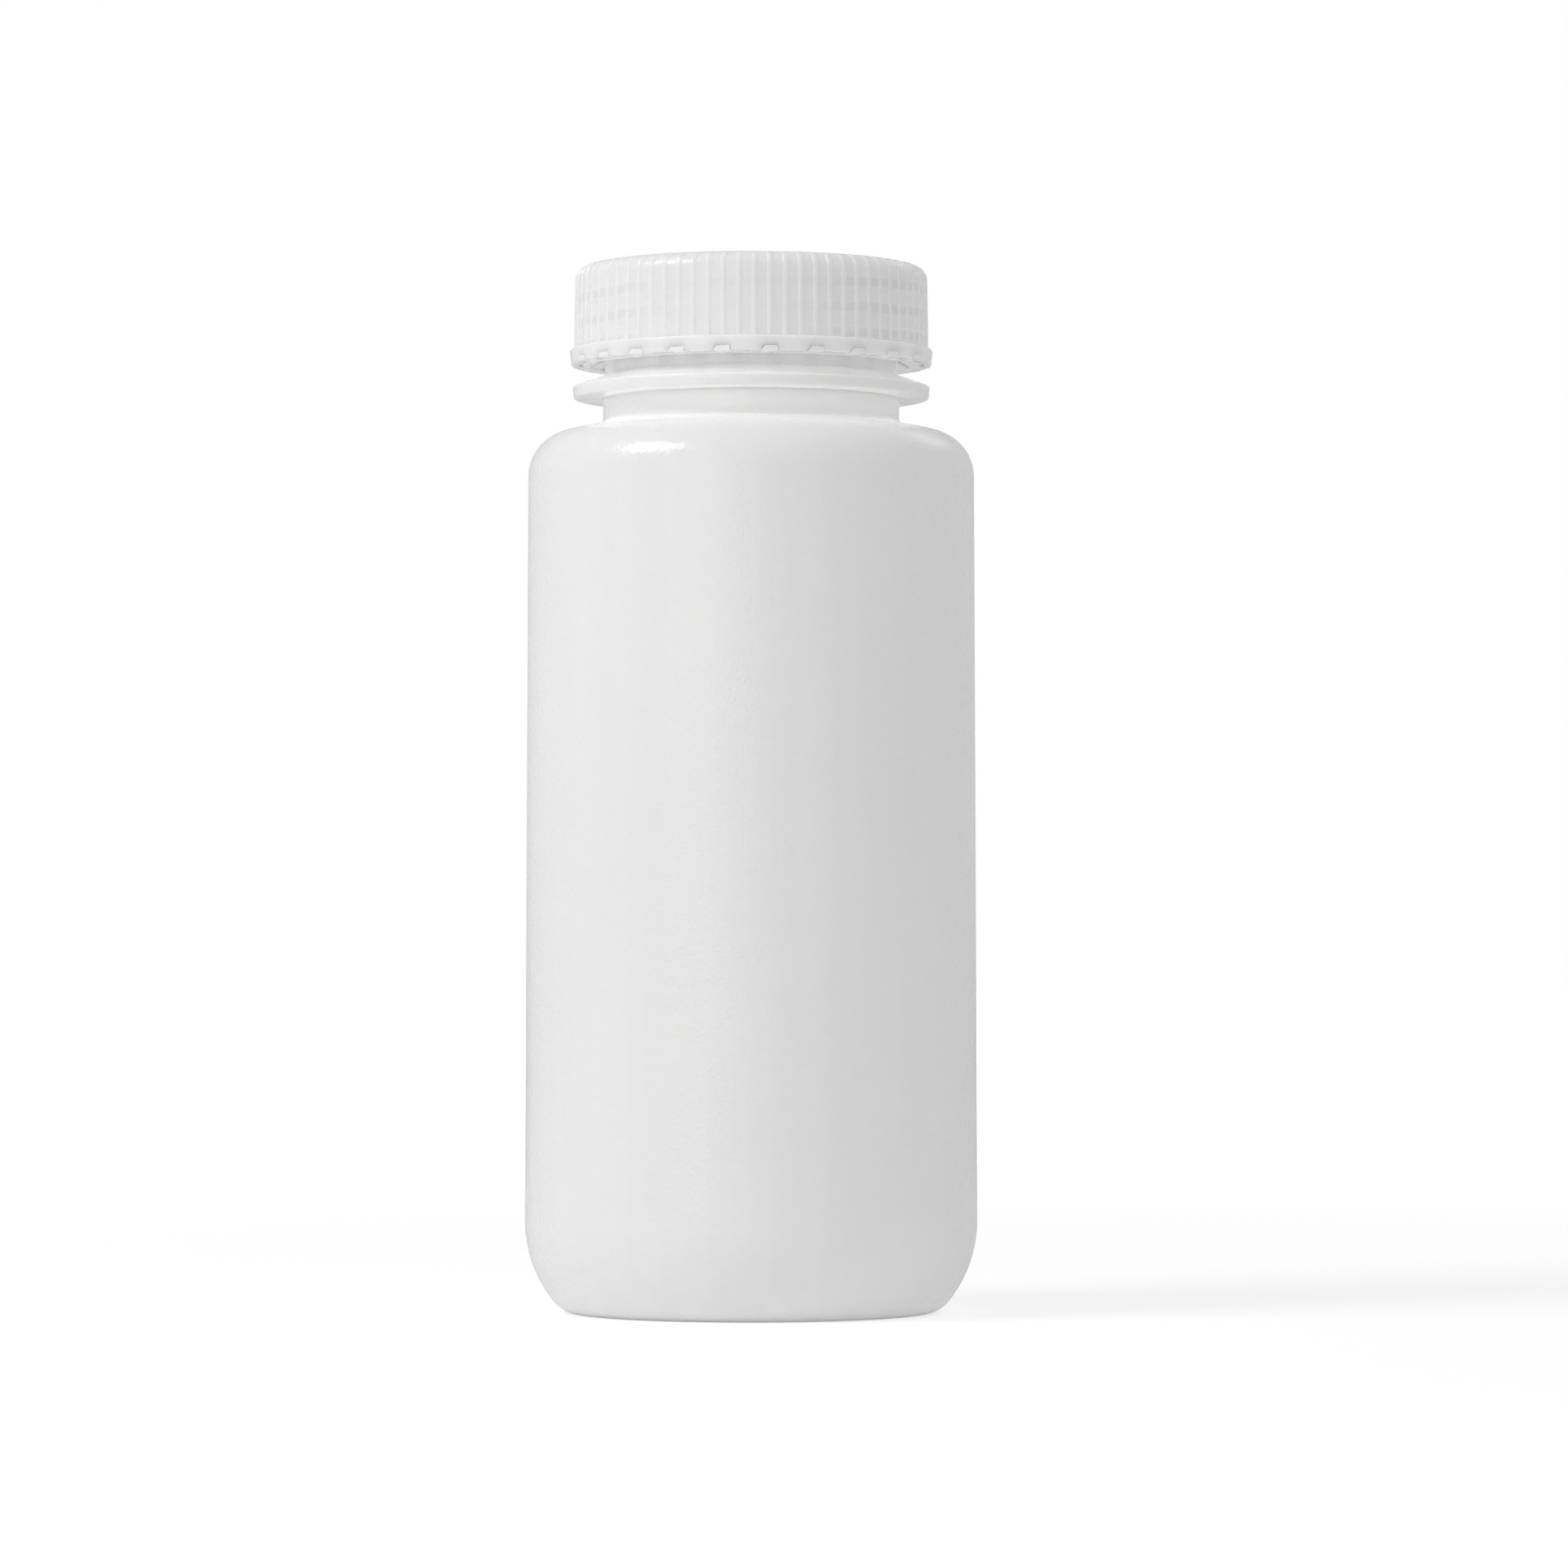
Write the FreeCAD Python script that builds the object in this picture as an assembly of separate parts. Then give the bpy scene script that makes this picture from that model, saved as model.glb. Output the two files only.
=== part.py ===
import FreeCAD, Part
import math
import os

# Wide-mouth reagent bottle with a tamper-evident screw cap. Millimetres, +Z up.
# The origin is the middle of the standing face, and the front of the bottle faces -Y.

# Body
HEEL_R = 36.5              # widest radius of the body, just above the heel
SHOULDER_R = 36.0          # radius of the body at the shoulder: the wall leans in a little
BODY_HEIGHT = 140.95       # standing face to the corner where wall and shoulder would meet
BODY_WALL = 1.2
HEEL_INSET = 6.1           # the heel starts this far inside the widest radius
HEEL_RISE = 7.65
HEEL_ROUND = 20.8          # long curve of the heel
FOOT_ROUND = 4.9           # short curve from the heel to the standing face
STANDING_WIDTH = 4.8       # ring that the bottle stands on, before its edges are rounded
STANDING_ROUND = 1.5
RECESS_RISE = 3.0          # the base is pushed up inside the standing ring
RECESS_SLOPE_WIDTH = 4.6
RECESS_ROUND = 5.0
SEAM_LENGTH = 34.0         # pinched seam across the recessed base
SEAM_WIDTH = 0.8
SEAM_HEIGHT = 0.35
SHOULDER_SLOPE = 11.2      # degrees below level
SHOULDER_ROUND = 7.5

# Neck
NECK_BASE_R = 23.95        # between shoulder and flange
NECK_BASE_HEIGHT = 4.09
NECK_BASE_FILLET = 1.2
NECK_BORE_R = 22.0
BORE_FILLET = 3.0          # from the bore of the neck to the inside of the shoulder
FLANGE_R = 28.86
FLANGE_DRAFT = 0.16        # the rim of the flange is this much smaller at its lower edge
FLANGE_RIM = 1.87
FLANGE_CONE = 1.88         # rise of the flange's conical top, from its rim to the neck
FLANGE_EDGE = 0.35
FLANGE_FILLET = 0.6
NECK_R = 23.6              # between flange and ledge, where the tabs of the tamper ring lie
LEDGE_ABOVE_FLANGE = 3.6   # top of the flange's cone to the underside of the ledge
LEDGE_R = 25.0             # the ledge holds the tamper ring down
LEDGE_HEIGHT = 0.5
LEDGE_RAMP = 0.5
LEDGE_EDGE = 0.15
LAND_R = 24.6              # neck surface between the turns of the thread
THREAD_ZONE = 10.15        # top of the ledge's ramp to the rim of the mouth
LIP_ROUND = 0.4

# Thread, right-handed
PITCH = 4.0
THREAD_HEIGHT = 1.7        # radial height of the neck's thread
THREAD_CREST = 0.8
THREAD_ROOT = 1.8
THREAD_BITE = 0.3          # the root of a thread reaches this far into its wall
NECK_THREAD_ABOVE_LAND = 1.75  # top of the ledge's ramp to the middle of the thread's first section
NECK_THREAD_BELOW_RIM = 1.2    # middle of the thread's last section to the rim of the mouth
NECK_THREAD_END = 480.0    # direction of the thread's upper end, counter-clockwise from +X
THREAD_PLAY = 0.5          # crest of the neck's thread to the wall of the cap
CREST_PLAY = 0.75          # crest of the cap's thread to the neck
THREAD_LEAD = 1.4          # the neck's thread lies this far above the cap's thread
CAP_THREAD_START = 200.0   # direction of the cap thread's lower end
CAP_THREAD_BELOW_PLATE = 1.76  # middle of the cap thread's last section to the top plate
NECK_FADE = 12.0           # length of the cutter that fades the ends of the neck's thread
CAP_FADE_R = 15.0          # radius of the cutter that fades the ends of the cap's thread

# Cap
SEAL_GAP = 0.05            # rim of the mouth to the sealing disc
SEAL_THICKNESS = 1.4
SEAL_PLAY = 0.4            # edge of the sealing disc to the crest of the cap's thread
SEAL_EDGE = 0.2
PLATE = 1.4
CAP_WALL = 1.3
CAP_DRAFT = 0.2            # the skirt is this much wider at its foot
CAP_ROUND = 2.4
CAP_INNER_ROUND = 0.8
STEP_ABOVE_LEDGE = 0.42    # underside of the ledge to the flat underside of the skirt
STEP_EDGE = 0.2
RIB_COUNT = 72
RIB_HEIGHT = 0.4
RIB_ANGLE = 1.5
RIB_BITE = 0.25            # the ribs reach this far into the wall
RIB_PHASE = 1.0            # degrees from the front to the middle of the nearest rib
BAND_STEP = 1.05           # the band stands out this far from the foot of the skirt
BAND_WALL = 1.25
BAND_DRAFT = 0.2
BAND_ABOVE_STEP = 0.1      # underside of the skirt to the upper edge of the band
BAND_DEPTH = 2.45
BAND_EDGE = 0.3
GATE_R = 3.0               # shallow dimple round the moulding gate
GATE_DEPTH = 0.35
GATE_NUB_R = 0.8
GATE_NUB_HEIGHT = 0.25

# Notches in the lower edge of the band, and the dogs of the ring that stand in them
NOTCH_COUNT = 24
NOTCH_WIDTH = 2.24
NOTCH_HEIGHT = 0.8
NOTCH_RAMP = 0.66
NOTCH_PHASE = 6.3          # degrees from the front to the middle of the nearest notch
DOG_PLAY = 0.15
DOG_RECESS = 0.45          # the dogs end this far inside the outer face of the band

# Tamper ring
RING_GAP = 0.75            # ring to the inside of the band
RING_WALL = 1.1
RING_BELOW_BAND = 0.2
RING_HEIGHT = 1.9
RING_EDGE = 0.2
RING_BITE = 0.3            # tabs, dogs and bridges reach this far into the ring
TAB_COUNT = 24
TAB_ANGLE = 11.0
TAB_PHASE = 1.6            # degrees from the front to the middle of the nearest tab
TAB_THICKNESS = 0.6
TAB_ROOT = 0.9             # height of the tabs where they leave the ring
TAB_NECK_PLAY = 0.5        # tip of the tabs to the neck
TAB_LEDGE_PLAY = 0.3       # tip of the tabs to the underside of the ledge
BRIDGE_COUNT = 12
BRIDGE_WIDTH = 0.6
BRIDGE_REACH = 0.45
BRIDGE_RISE = 0.9          # height of a bridge on the outside of the ring
BRIDGE_PHASE = 13.8        # degrees from the front to the middle of the nearest bridge

ORIGIN = FreeCAD.Vector(0, 0, 0)
UP = FreeCAD.Vector(0, 0, 1)
FRONT = -90.0              # direction of the front, in degrees counter-clockwise from +X
OVERCUT = 1.0              # cutters run this far past what they cut
SHORTEST_EDGE = 1e-4

# Levels up the bottle
neck_base_z = BODY_HEIGHT + (SHOULDER_R - NECK_BASE_R) * math.tan(math.radians(SHOULDER_SLOPE))
flange_z = neck_base_z + NECK_BASE_HEIGHT
flange_rim_z = flange_z + FLANGE_RIM
neck_z = flange_rim_z + FLANGE_CONE
ledge_z = neck_z + LEDGE_ABOVE_FLANGE
land_z = ledge_z + LEDGE_HEIGHT + LEDGE_RAMP
rim_z = land_z + THREAD_ZONE
neck_thread_end_z = rim_z - NECK_THREAD_BELOW_RIM

# Levels and radii of the cap
plate_z = rim_z + SEAL_GAP + SEAL_THICKNESS
cap_top_z = plate_z + PLATE
step_z = ledge_z + STEP_ABOVE_LEDGE
band_top_z = step_z + BAND_ABOVE_STEP
band_z = band_top_z - BAND_DEPTH
cap_crest_r = LAND_R + CREST_PLAY
cap_bore_r = LAND_R + THREAD_HEIGHT + THREAD_PLAY
skirt_top_r = cap_bore_r + CAP_WALL
skirt_foot_r = skirt_top_r + CAP_DRAFT
band_r = skirt_foot_r + BAND_STEP
band_foot_r = band_r - BAND_DRAFT
band_bore_r = band_foot_r - BAND_WALL

# Levels and radii of the ring
ring_r = band_bore_r - RING_GAP
ring_bore_r = ring_r - RING_WALL
ring_z = band_z - RING_BELOW_BAND


def corner_arc(before, corner, after, radius):
    """Start, middle and end of the arc that rounds a corner."""
    back = (before - corner).normalize()
    ahead = (after - corner).normalize()
    half = back.getAngle(ahead) / 2
    centre = corner + (back + ahead).normalize() * (radius / math.sin(half))
    reach = radius / math.tan(half)
    return corner + back * reach, centre + (corner - centre).normalize() * radius, corner + ahead * reach


def fitted_radii(corners, radii):
    """Corner radii, made smaller where two rounds need more than the straight between them."""
    count = len(corners)
    reaches = []
    for i in range(count):
        back = corners[i - 1] - corners[i]
        ahead = corners[(i + 1) % count] - corners[i]
        reaches.append(radii[i] / math.tan(back.getAngle(ahead) / 2))
    fitted = list(radii)
    for i in range(count):
        for j in (i - 1, (i + 1) % count):
            length = (corners[j] - corners[i]).Length
            needed = reaches[i] + reaches[j]
            if needed > length:
                fitted[i] = min(fitted[i], radii[i] * length / needed)
    return fitted


def section(points):
    """Closed face in the XZ plane from corners given as (radius, height, rounding)."""
    corners = [FreeCAD.Vector(point[0], 0, point[1]) for point in points]
    radii = fitted_radii(corners, [point[2] for point in points])
    rounds = []
    for i, corner in enumerate(corners):
        if radii[i] > 0:
            rounds.append(corner_arc(corners[i - 1], corner, corners[(i + 1) % len(corners)], radii[i]))
        else:
            rounds.append((corner, None, corner))
    edges = []
    for i, (start, middle, end) in enumerate(rounds):
        last = rounds[i - 1][2]
        if last.distanceToPoint(start) > SHORTEST_EDGE:
            edges.append(Part.LineSegment(last, start).toShape())
        if middle is not None:
            edges.append(Part.Arc(start, middle, end).toShape())
    return Part.Face(Part.Wire(edges))


def turned(points, sweep=360.0, start=0.0):
    """Solid of revolution about the axis, from a section's corners."""
    solid = section(points).revolve(ORIGIN, UP, sweep)
    solid.rotate(ORIGIN, UP, start)
    return solid


def ring_of(shape, count, first):
    """Copies of a shape, evenly spaced about the axis, the first turned to the given direction."""
    copies = []
    for i in range(count):
        copy = shape.copy()
        copy.rotate(ORIGIN, UP, first + i * 360.0 / count)
        copies.append(copy)
    return copies


def inset(points, walls):
    """Inner side of an open outline: each straight moved inwards by its own wall."""
    lines = []
    for (r0, z0, _), (r1, z1, _), wall in zip(points, points[1:], walls):
        length = math.hypot(r1 - r0, z1 - z0)
        along = ((r1 - r0) / length, (z1 - z0) / length)
        lines.append((r0 - along[1] * wall, z0 + along[0] * wall, along[0], along[1]))
    inner = [(0.0, lines[0][1], 0.0)]
    for (r0, z0, a0, b0), (r1, z1, a1, b1), point, wall in zip(lines, lines[1:], points[1:], walls):
        turn = a0 * b1 - b0 * a1
        reach = ((r1 - r0) * b1 - (z1 - z0) * a1) / turn
        rounding = point[2] - math.copysign(wall, turn)
        inner.append((r0 + a0 * reach, z0 + b0 * reach, max(rounding, 0.0)))
    return inner


def thread(root_r, crest_r, start, z, turns):
    """Helical ridge from root to crest radius, its first section's middle at the given height."""
    half_root = THREAD_ROOT / 2
    half_crest = THREAD_CREST / 2
    corners = [
        FreeCAD.Vector(root_r, 0, -half_root),
        FreeCAD.Vector(crest_r, 0, -half_crest),
        FreeCAD.Vector(crest_r, 0, half_crest),
        FreeCAD.Vector(root_r, 0, half_root),
    ]
    profile = Part.makePolygon(corners + corners[:1])
    helix = Part.makeHelix(PITCH, PITCH * turns, root_r)
    ridge = Part.Wire(helix.Edges).makePipeShell([profile], True, True)
    ridge.rotate(ORIGIN, UP, start)
    ridge.translate(FreeCAD.Vector(0, 0, z))
    return ridge


def faded(ridge, cutter, ends):
    """A thread with the cutter taken out of it at each end, given as (direction, height)."""
    for direction, z in ends:
        placed = cutter.copy()
        placed.rotate(ORIGIN, UP, direction)
        placed.translate(FreeCAD.Vector(0, 0, z))
        ridge = ridge.cut(placed)
    return ridge


def neck_thread():
    """The bottle's thread, both ends fading into the neck."""
    start_z = land_z + NECK_THREAD_ABOVE_LAND
    turns = (neck_thread_end_z - start_z) / PITCH
    start = NECK_THREAD_END - 360.0 * turns
    ridge = thread(LAND_R - THREAD_BITE, LAND_R + THREAD_HEIGHT, start, start_z, turns)
    corner = FreeCAD.Vector(LAND_R, -NECK_FADE, -PITCH / 2)
    cutter = Part.makeBox(THREAD_HEIGHT + OVERCUT, 2 * NECK_FADE, PITCH, corner)
    return faded(ridge, cutter, ((start, start_z), (NECK_THREAD_END, neck_thread_end_z)))


def cap_thread():
    """The cap's inside thread, both ends fading into the skirt. It follows the neck's thread below it."""
    turns_back = (NECK_THREAD_END - CAP_THREAD_START) / 360.0
    start_z = neck_thread_end_z - THREAD_LEAD - PITCH * turns_back
    lowest_z = step_z + THREAD_ROOT / 2
    start_z -= PITCH * math.floor((start_z - lowest_z) / PITCH)
    end_z = plate_z - CAP_THREAD_BELOW_PLATE
    turns = (end_z - start_z) / PITCH
    ridge = thread(cap_bore_r + THREAD_BITE, cap_crest_r, CAP_THREAD_START, start_z, turns)
    foot = FreeCAD.Vector(cap_bore_r - CAP_FADE_R, 0, -PITCH / 2)
    cutter = Part.makeCylinder(CAP_FADE_R, PITCH, foot)
    return faded(ridge, cutter, ((CAP_THREAD_START, start_z), (CAP_THREAD_START + 360.0 * turns, end_z)))


def notch(play, inner_r, outer_r, foot_z):
    """Ramped notch, or with play the dog that stands in it. Pointing along +X."""
    half = NOTCH_WIDTH / 2
    top_z = band_z + NOTCH_HEIGHT - play
    corners = [
        FreeCAD.Vector(inner_r, -half - NOTCH_RAMP + play, foot_z),
        FreeCAD.Vector(inner_r, -half - NOTCH_RAMP + play, band_z),
        FreeCAD.Vector(inner_r, -half + play, top_z),
        FreeCAD.Vector(inner_r, half - play, top_z),
        FreeCAD.Vector(inner_r, half - play, foot_z),
    ]
    face = Part.Face(Part.makePolygon(corners + corners[:1]))
    return face.extrude(FreeCAD.Vector(outer_r - inner_r, 0, 0))


def make_bottle():
    body = [
        (0.0, RECESS_RISE, 0.0),
        (HEEL_R - HEEL_INSET - STANDING_WIDTH - RECESS_SLOPE_WIDTH, RECESS_RISE, RECESS_ROUND),
        (HEEL_R - HEEL_INSET - STANDING_WIDTH, 0.0, STANDING_ROUND),
        (HEEL_R - HEEL_INSET, 0.0, FOOT_ROUND),
        (HEEL_R, HEEL_RISE, HEEL_ROUND),
        (SHOULDER_R, BODY_HEIGHT, SHOULDER_ROUND),
        (NECK_BASE_R, neck_base_z, NECK_BASE_FILLET),
    ]
    neck = [
        (NECK_BASE_R, flange_z, FLANGE_FILLET / 2),
        (FLANGE_R - FLANGE_DRAFT, flange_z, FLANGE_EDGE),
        (FLANGE_R, flange_rim_z, FLANGE_EDGE),
        (NECK_R, neck_z, FLANGE_FILLET),
        (NECK_R, ledge_z, LEDGE_EDGE),
        (LEDGE_R, ledge_z, LEDGE_EDGE),
        (LEDGE_R, ledge_z + LEDGE_HEIGHT, LEDGE_EDGE),
        (LAND_R, land_z, 0.0),
        (LAND_R, rim_z, LIP_ROUND),
        (0.0, rim_z, 0.0),
    ]
    blank = turned(body + neck).fuse(neck_thread())

    walls = [BODY_WALL] * (len(body) - 1) + [NECK_BASE_R - NECK_BORE_R]
    hollow = inset(body + neck[:1], walls)
    hollow[-1] = (NECK_BORE_R, hollow[-1][1], BORE_FILLET)
    mouth = [
        (NECK_BORE_R, rim_z - LIP_ROUND, 0.0),
        (NECK_BORE_R + LIP_ROUND, rim_z, 0.0),
        (NECK_BORE_R + LIP_ROUND, rim_z + OVERCUT, 0.0),
        (0.0, rim_z + OVERCUT, 0.0),
    ]
    seam = Part.makeBox(
        SEAM_LENGTH, SEAM_WIDTH, SEAM_HEIGHT + BODY_WALL / 2,
        FreeCAD.Vector(-SEAM_LENGTH / 2, -SEAM_WIDTH / 2, RECESS_RISE - SEAM_HEIGHT),
    )
    return blank.cut(turned(hollow + mouth)).fuse(seam).removeSplitter()


def make_cap():
    shell = turned([
        (0.0, cap_top_z, 0.0),
        (skirt_top_r, cap_top_z, CAP_ROUND),
        (skirt_foot_r, band_top_z, 0.0),
        (band_r, band_top_z, BAND_EDGE),
        (band_foot_r, band_z, BAND_EDGE),
        (band_bore_r, band_z, BAND_EDGE),
        (band_bore_r, step_z, STEP_EDGE),
        (cap_bore_r, step_z, STEP_EDGE),
        (cap_bore_r, plate_z, CAP_INNER_ROUND),
        (0.0, plate_z, 0.0),
    ])
    rib_foot_z = band_top_z - RIB_BITE
    rib_fade_r = skirt_top_r - CAP_ROUND - RIB_BITE
    rib = turned([
        (rib_fade_r, cap_top_z - RIB_BITE, 0.0),
        (rib_fade_r, cap_top_z, 0.0),
        (skirt_top_r + RIB_HEIGHT, cap_top_z, CAP_ROUND - RIB_HEIGHT),
        (skirt_foot_r + RIB_HEIGHT, rib_foot_z, 0.0),
        (skirt_foot_r - RIB_BITE, rib_foot_z, 0.0),
        (skirt_top_r - RIB_BITE, cap_top_z - RIB_BITE, CAP_ROUND - RIB_BITE),
    ], RIB_ANGLE, -RIB_ANGLE / 2)
    ribs = ring_of(rib, RIB_COUNT, FRONT + RIB_PHASE)
    opening = notch(0.0, band_bore_r - OVERCUT / 2, band_r + OVERCUT, band_z - OVERCUT)
    notches = ring_of(opening, NOTCH_COUNT, FRONT + NOTCH_PHASE)
    dimple = Part.makeCylinder(GATE_R, GATE_DEPTH + OVERCUT, FreeCAD.Vector(0, 0, cap_top_z - GATE_DEPTH))
    nub = Part.makeCylinder(
        GATE_NUB_R, GATE_NUB_HEIGHT + PLATE / 2, FreeCAD.Vector(0, 0, cap_top_z - GATE_DEPTH - PLATE / 2)
    )
    cap = shell.fuse(ribs).cut(notches + [dimple]).fuse([nub, cap_thread()])
    return cap.removeSplitter()


def make_disc():
    disc_r = cap_crest_r - SEAL_PLAY
    return turned([
        (0.0, rim_z + SEAL_GAP, 0.0),
        (disc_r, rim_z + SEAL_GAP, SEAL_EDGE),
        (disc_r, plate_z, SEAL_EDGE),
        (0.0, plate_z, 0.0),
    ])


def make_ring():
    band = turned([
        (ring_bore_r, ring_z, RING_EDGE),
        (ring_r, ring_z, RING_EDGE),
        (ring_r, ring_z + RING_HEIGHT, RING_EDGE),
        (ring_bore_r, ring_z + RING_HEIGHT, RING_EDGE),
    ])
    tip_r = NECK_R + TAB_NECK_PLAY
    tip_z = ledge_z - TAB_LEDGE_PLAY
    tab = turned([
        (ring_bore_r + RING_BITE, ring_z + RING_EDGE, 0.0),
        (ring_bore_r, ring_z + RING_EDGE, 0.0),
        (tip_r, tip_z - TAB_THICKNESS, 0.0),
        (tip_r, tip_z, 0.0),
        (ring_bore_r, ring_z + RING_EDGE + TAB_ROOT, 0.0),
        (ring_bore_r + RING_BITE, ring_z + RING_EDGE + TAB_ROOT, 0.0),
    ], TAB_ANGLE, -TAB_ANGLE / 2)
    tabs = ring_of(tab, TAB_COUNT, FRONT + TAB_PHASE)
    dog = notch(DOG_PLAY, ring_r - RING_BITE, band_foot_r - DOG_RECESS, ring_z + RING_EDGE)
    dogs = ring_of(dog, NOTCH_COUNT, FRONT + NOTCH_PHASE)
    bridge = Part.makeBox(
        BRIDGE_REACH + RING_BITE, BRIDGE_WIDTH, BRIDGE_RISE,
        FreeCAD.Vector(ring_r - RING_BITE, -BRIDGE_WIDTH / 2, step_z - BRIDGE_RISE),
    )
    bridges = ring_of(bridge, BRIDGE_COUNT, FRONT + BRIDGE_PHASE)
    return band.fuse(tabs + dogs + bridges).removeSplitter()


os.makedirs("parts", exist_ok=True)
nodes = {
    "bottle": make_bottle(),
    "screw_cap": make_cap(),
    "sealing_disc": make_disc(),
    "tamper_ring": make_ring(),
}
for name, shape in nodes.items():
    solids = shape.Solids
    print(name, "solids", len(solids), "valid", shape.isValid(), "cm3", round(shape.Volume / 1000, 3),
          "faces", len(shape.Faces))
    solids[0].exportStep(f"parts/{name}.step")
print("cap top", round(cap_top_z, 2), "rim", round(rim_z, 2), "foot of the ring", round(ring_z, 2))
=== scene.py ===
# %% [markdown]
# # A wide-mouth reagent bottle of natural plastic
# The bottle is blown from natural polyethylene and its screw cap is moulded in natural polypropylene. Both are
# milky and let some light through, so the finish matters as much as the shape. This lesson loads the measured
# solids, models the visible pieces over them, gives them their plastics, and sets a plain bright studio.

# %% Load the frame
import bpy
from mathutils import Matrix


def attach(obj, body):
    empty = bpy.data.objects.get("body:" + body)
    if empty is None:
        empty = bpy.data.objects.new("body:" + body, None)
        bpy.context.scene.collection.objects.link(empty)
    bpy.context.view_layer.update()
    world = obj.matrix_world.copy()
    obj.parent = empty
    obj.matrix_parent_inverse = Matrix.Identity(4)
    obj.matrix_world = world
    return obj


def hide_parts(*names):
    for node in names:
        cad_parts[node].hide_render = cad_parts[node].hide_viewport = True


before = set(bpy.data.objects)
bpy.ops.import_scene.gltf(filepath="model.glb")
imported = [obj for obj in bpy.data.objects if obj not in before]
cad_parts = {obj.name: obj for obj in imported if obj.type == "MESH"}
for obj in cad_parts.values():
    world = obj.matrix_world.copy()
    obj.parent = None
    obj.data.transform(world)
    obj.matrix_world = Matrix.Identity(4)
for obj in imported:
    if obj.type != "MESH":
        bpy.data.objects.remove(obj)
bpy.context.view_layer.update()

# %% [markdown]
# Blender's lengths are metres, but a bottle is measured in millimetres. So every size below is written in
# millimetres, and multiplied by MM on its way into Blender.

# %% Modules and units
import math

import bmesh
from mathutils import Vector

MM = 0.001

# %% [markdown]
# ## Camera
# The photograph was taken from about a metre away with a long lens, a little below the middle of the bottle, so
# the flange and the cap are seen from below and the foot from above. A pixel in the middle of the picture is
# 0.131 mm on the bottle. Position and aim follow from that, with no lens shift, so other views stay framed.

# %% Camera
PIXEL = 0.1311 * MM          # one pixel of the photograph, at the bottle's axis
PHOTO_WIDTH = 1932
CAMERA_DISTANCE = 8035 * PIXEL
EYE_LEVEL = 60.5 * MM
AIM = Vector((5.3 * MM, 0.0, 85.2 * MM))

camera_data = bpy.data.cameras.new("camera")
camera_data.sensor_width = 36.0
camera_data.lens = camera_data.sensor_width * CAMERA_DISTANCE / (PHOTO_WIDTH * PIXEL)
camera = bpy.data.objects.new("camera", camera_data)
bpy.context.scene.collection.objects.link(camera)
camera.location = (0.0, -CAMERA_DISTANCE, EYE_LEVEL)
camera.rotation_euler = (AIM - camera.location).to_track_quat("-Z", "Y").to_euler()
bpy.context.scene.camera = camera
print("lens", round(camera_data.lens, 1), "mm from", round(CAMERA_DISTANCE, 3), "m")

# %% [markdown]
# ## Drawing an outline and turning it
# Every piece of this bottle is round, so each starts as half of its section: one point, extruded from corner to
# corner. A list of corners with the radius of each round is easier to read and to correct than a list of points,
# so the rounds are worked out from it. A small round gets coarse steps and a large one fine steps, which keeps
# the error of every arc under four thousandths of a millimetre.

# %% Rounded corners
ARC_ERROR = 0.004            # millimetres between an arc and its straight steps
CLOSE = 2e-6                 # points nearer than this, in metres, are one point


def arc_points(before, corner, after, radius):
    """Points of the arc that rounds a corner, from one straight to the next."""
    before, corner, after = Vector(before), Vector(corner), Vector(after)
    back = (before - corner).normalized()
    ahead = (after - corner).normalized()
    half = back.angle(ahead) / 2
    centre = corner + (back + ahead).normalized() * (radius / math.sin(half))
    start = corner + back * (radius / math.tan(half)) - centre
    end = corner + ahead * (radius / math.tan(half)) - centre
    turn = start.angle(end)
    steps = max(2, math.ceil(turn / (2 * math.acos(1 - ARC_ERROR / radius))))
    points = []
    for i in range(steps + 1):
        share = i / steps
        spoke = (start * math.sin((1 - share) * turn) + end * math.sin(share * turn)) / math.sin(turn)
        points.append(tuple(centre + spoke))
    return points


def rounded(corners, closed=False):
    """Points (radius, height) of an outline whose corners are (radius, height, rounding), in millimetres."""
    points = []
    for i, (r, z, rounding) in enumerate(corners):
        inside = closed or 0 < i < len(corners) - 1
        if rounding > 0 and inside:
            after = corners[(i + 1) % len(corners)]
            points += arc_points(corners[i - 1][:2], (r, z), after[:2], rounding)
        else:
            points.append((r, z))
    return points


print("a 20.8 mm quarter round has", len(rounded([(0, 0, 0), (50, 0, 20.8), (50, 50, 0)])) - 2, "points")

# %% Drawing an outline
CENTRE = (0.0, 0.0, 0.0)


def drawn(name, outline, closed=False):
    """A new piece in edit mode: one point, extruded from each point of the outline to the next."""
    bpy.ops.object.select_all(action="DESELECT")
    bpy.ops.mesh.primitive_plane_add(size=MM, location=CENTRE)
    piece = bpy.context.object
    piece.name = name
    piece.data.name = name
    bpy.ops.object.mode_set(mode="EDIT")
    bpy.ops.mesh.select_mode(type="VERT")
    bpy.ops.mesh.select_all(action="SELECT")
    bpy.ops.mesh.merge(type="CENTER")
    bpy.ops.transform.translate(value=(outline[0][0] * MM, 0.0, outline[0][1] * MM))
    for (r0, z0), (r1, z1) in zip(outline, outline[1:]):
        step = ((r1 - r0) * MM, 0.0, (z1 - z0) * MM)
        bpy.ops.mesh.extrude_vertices_move(TRANSFORM_OT_translate={"value": step})
    if closed:
        mesh = bmesh.from_edit_mesh(piece.data)
        for vertex in mesh.verts:
            vertex.select = len(vertex.link_edges) == 1
        mesh.select_flush_mode()
        bmesh.update_edit_mesh(piece.data)
        bpy.ops.mesh.edge_face_add()
    bpy.ops.mesh.select_all(action="SELECT")
    return piece


# %% Finishing and turning
AXIS = (0.0, 0.0, 1.0)


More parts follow.
